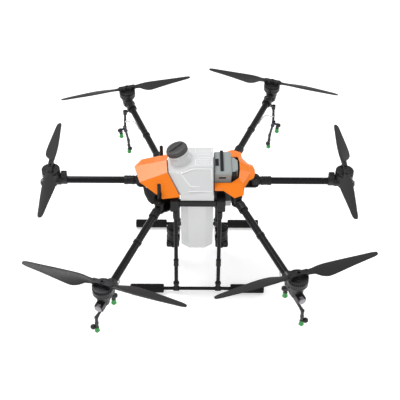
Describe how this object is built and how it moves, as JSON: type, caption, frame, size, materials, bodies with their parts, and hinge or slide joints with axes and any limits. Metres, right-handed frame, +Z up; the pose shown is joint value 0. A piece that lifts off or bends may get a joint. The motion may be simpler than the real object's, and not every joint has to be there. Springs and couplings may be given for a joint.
{
  "type": "agricultural spray drone",
  "caption": "Folding multi-arm spray drone with lift-out tank and battery, folding propellers, hanging spray booms and a skid landing gear",
  "frame": {"origin": "on the ground, under the middle of the drone's overall box", "axes": "+Z up, nose towards -X, tail towards +X, the drone's left side towards -Y"},
  "size_m": [1.582, 1.819, 0.7655],
  "materials": {
    "cover_orange": "satin moulded orange plastic with flat facets",
    "frame_black": "fine-textured black moulded plastic",
    "carbon_tube": "satin woven carbon tube",
    "tank_white": "milky white blow-moulded plastic",
    "lid_grey": "dark grey ribbed plastic cap",
    "battery_grey": "blue-grey matte plastic case",
    "foam_black": "closed-cell black foam",
    "motor_black": "black glass-filled plastic and anodised metal",
    "bell_black": "black anodised aluminium",
    "blade_black": "matte carbon-filled plastic",
    "nozzle_black": "black plastic spray fittings",
    "nozzle_green": "green plastic nozzle tip",
    "hose_clear": "milky translucent flexible hose",
    "pump_black": "black pump housing",
    "sensor_grey": "light grey plastic body",
    "lamp_grey": "frosted grey lamp lens"
  },
  "bodies": {
    "airframe": {"frame_front": "frame_black", "frame_rear": "frame_black", "side_rail_left": "frame_black", "side_rail_right": "frame_black", "front_cover": "cover_orange", "rear_cover": "cover_orange", "antenna_left": "frame_black", "antenna_right": "frame_black", "flight_controller": "frame_black", "flow_meter": "sensor_grey", "landing_leg_left": "carbon_tube", "landing_leg_right": "carbon_tube", "skid_foam_front_left": "foam_black", "skid_foam_rear_left": "foam_black", "skid_foam_front_right": "foam_black", "skid_foam_rear_right": "foam_black", "pump_front": "pump_black", "pump_rear": "pump_black"},
    "tank": {"tank": "tank_white"},
    "tank_lid": {"tank_lid": "lid_grey"},
    "battery": {"battery": "battery_grey", "battery_handle": "frame_black"},
    "arm_nose": {"arm_nose": "carbon_tube", "motor_base_nose": "motor_black"},
    "rotor_nose": {"rotor_nose": "bell_black"},
    "blade_nose_a": {"blade_nose_a": "blade_black"},
    "blade_nose_b": {"blade_nose_b": "blade_black"},
    "arm_tail": {"arm_tail": "carbon_tube", "motor_base_tail": "motor_black"},
    "rotor_tail": {"rotor_tail": "bell_black"},
    "blade_tail_a": {"blade_tail_a": "blade_black"},
    "blade_tail_b": {"blade_tail_b": "blade_black"},
    "arm_front_left": {"arm_front_left": "carbon_tube", "motor_base_front_left": "motor_black", "spray_boom_front_left": "nozzle_black", "hose_front_left": "hose_clear"},
    "rotor_front_left": {"rotor_front_left": "bell_black"},
    "blade_front_left_a": {"blade_front_left_a": "blade_black"},
    "blade_front_left_b": {"blade_front_left_b": "blade_black"},
    "arm_front_right": {"arm_front_right": "carbon_tube", "motor_base_front_right": "motor_black", "spray_boom_front_right": "nozzle_black", "hose_front_right": "hose_clear"},
    "rotor_front_right": {"rotor_front_right": "bell_black"},
    "blade_front_right_a": {"blade_front_right_a": "blade_black"},
    "blade_front_right_b": {"blade_front_right_b": "blade_black"},
    "arm_rear_left": {"arm_rear_left": "carbon_tube", "motor_base_rear_left": "motor_black", "spray_boom_rear_left": "nozzle_black", "hose_rear_left": "hose_clear"},
    "rotor_rear_left": {"rotor_rear_left": "bell_black"},
    "blade_rear_left_a": {"blade_rear_left_a": "blade_black"},
    "blade_rear_left_b": {"blade_rear_left_b": "blade_black"},
    "arm_rear_right": {"arm_rear_right": "carbon_tube", "motor_base_rear_right": "motor_black", "spray_boom_rear_right": "nozzle_black", "hose_rear_right": "hose_clear"},
    "rotor_rear_right": {"rotor_rear_right": "bell_black"},
    "blade_rear_right_a": {"blade_rear_right_a": "blade_black"},
    "blade_rear_right_b": {"blade_rear_right_b": "blade_black"}
  },
  "joints": [
    {"name": "tank_lift", "type": "slide", "parent": "airframe", "child": "tank", "axis": [0, 0, 1], "range_m": [0, 0.35]},
    {"name": "lid_turn", "type": "hinge", "parent": "tank", "child": "tank_lid", "pos_m": [-0.0995, 0, 0.718], "axis": [-0.342, 0, 0.9397], "range_deg": [0, 120]},
    {"name": "battery_lift", "type": "slide", "parent": "airframe", "child": "battery", "axis": [0, 0, 1], "range_m": [0, 0.18]},
    {"name": "fold_nose", "type": "hinge", "parent": "airframe", "child": "arm_nose", "pos_m": [-0.283, 0, 0.5404], "axis": [0, 0, -1], "range_deg": [0, 70]},
    {"name": "spin_nose", "type": "hinge", "parent": "arm_nose", "child": "rotor_nose", "pos_m": [-0.7315, 0, 0.6204], "axis": [0, 0, 1], "continuous": true},
    {"name": "fold_blade_nose_a", "type": "hinge", "parent": "rotor_nose", "child": "blade_nose_a", "pos_m": [-0.7315, -0.038, 0.6204], "axis": [0, 0, 1], "range_deg": [0, 90]},
    {"name": "fold_blade_nose_b", "type": "hinge", "parent": "rotor_nose", "child": "blade_nose_b", "pos_m": [-0.7315, 0.038, 0.6204], "axis": [0, 0, -1], "range_deg": [0, 90]},
    {"name": "fold_tail", "type": "hinge", "parent": "airframe", "child": "arm_tail", "pos_m": [0.283, 0, 0.5404], "axis": [0, 0, -1], "range_deg": [0, 70]},
    {"name": "spin_tail", "type": "hinge", "parent": "arm_tail", "child": "rotor_tail", "pos_m": [0.7315, 0, 0.6204], "axis": [0, 0, 1], "continuous": true},
    {"name": "fold_blade_tail_a", "type": "hinge", "parent": "rotor_tail", "child": "blade_tail_a", "pos_m": [0.7315, 0.038, 0.6204], "axis": [0, 0, 1], "range_deg": [0, 90]},
    {"name": "fold_blade_tail_b", "type": "hinge", "parent": "rotor_tail", "child": "blade_tail_b", "pos_m": [0.7315, -0.038, 0.6204], "axis": [0, 0, -1], "range_deg": [0, 90]},
    {"name": "fold_front_left", "type": "hinge", "parent": "airframe", "child": "arm_front_left", "pos_m": [-0.187, -0.172, 0.5102], "axis": [0, 0, 1], "range_deg": [0, 60]},
    {"name": "spin_front_left", "type": "hinge", "parent": "arm_front_left", "child": "rotor_front_left", "pos_m": [-0.4055, -0.7737, 0.5952], "axis": [0, 0, 1], "continuous": true},
    {"name": "fold_blade_front_left_a", "type": "hinge", "parent": "rotor_front_left", "child": "blade_front_left_a", "pos_m": [-0.36978, -0.78667, 0.5952], "axis": [0, 0, 1], "range_deg": [0, 90]},
    {"name": "fold_blade_front_left_b", "type": "hinge", "parent": "rotor_front_left", "child": "blade_front_left_b", "pos_m": [-0.44122, -0.76073, 0.5952], "axis": [0, 0, -1], "range_deg": [0, 90]},
    {"name": "fold_front_right", "type": "hinge", "parent": "airframe", "child": "arm_front_right", "pos_m": [-0.187, 0.172, 0.5102], "axis": [0, 0, -1], "range_deg": [0, 60]},
    {"name": "spin_front_right", "type": "hinge", "parent": "arm_front_right", "child": "rotor_front_right", "pos_m": [-0.4055, 0.7737, 0.5952], "axis": [0, 0, 1], "continuous": true},
    {"name": "fold_blade_front_right_a", "type": "hinge", "parent": "rotor_front_right", "child": "blade_front_right_a", "pos_m": [-0.44122, 0.76073, 0.5952], "axis": [0, 0, 1], "range_deg": [0, 90]},
    {"name": "fold_blade_front_right_b", "type": "hinge", "parent": "rotor_front_right", "child": "blade_front_right_b", "pos_m": [-0.36978, 0.78667, 0.5952], "axis": [0, 0, -1], "range_deg": [0, 90]},
    {"name": "fold_rear_left", "type": "hinge", "parent": "airframe", "child": "arm_rear_left", "pos_m": [0.19, -0.172, 0.5558], "axis": [0, 0, -1], "range_deg": [0, 60]},
    {"name": "spin_rear_left", "type": "hinge", "parent": "arm_rear_left", "child": "rotor_rear_left", "pos_m": [0.4226, -0.768, 0.6478], "axis": [0, 0, 1], "continuous": true},
    {"name": "fold_blade_rear_left_a", "type": "hinge", "parent": "rotor_rear_left", "child": "blade_rear_left_a", "pos_m": [0.458, -0.75418, 0.6478], "axis": [0, 0, 1], "range_deg": [0, 90]},
    {"name": "fold_blade_rear_left_b", "type": "hinge", "parent": "rotor_rear_left", "child": "blade_rear_left_b", "pos_m": [0.3872, -0.78182, 0.6478], "axis": [0, 0, -1], "range_deg": [0, 90]},
    {"name": "fold_rear_right", "type": "hinge", "parent": "airframe", "child": "arm_rear_right", "pos_m": [0.19, 0.172, 0.5558], "axis": [0, 0, 1], "range_deg": [0, 60]},
    {"name": "spin_rear_right", "type": "hinge", "parent": "arm_rear_right", "child": "rotor_rear_right", "pos_m": [0.4226, 0.768, 0.6478], "axis": [0, 0, 1], "continuous": true},
    {"name": "fold_blade_rear_right_a", "type": "hinge", "parent": "rotor_rear_right", "child": "blade_rear_right_a", "pos_m": [0.3872, 0.78182, 0.6478], "axis": [0, 0, 1], "range_deg": [0, 90]},
    {"name": "fold_blade_rear_right_b", "type": "hinge", "parent": "rotor_rear_right", "child": "blade_rear_right_b", "pos_m": [0.458, 0.75418, 0.6478], "axis": [0, 0, -1], "range_deg": [0, 90]}
  ]
}
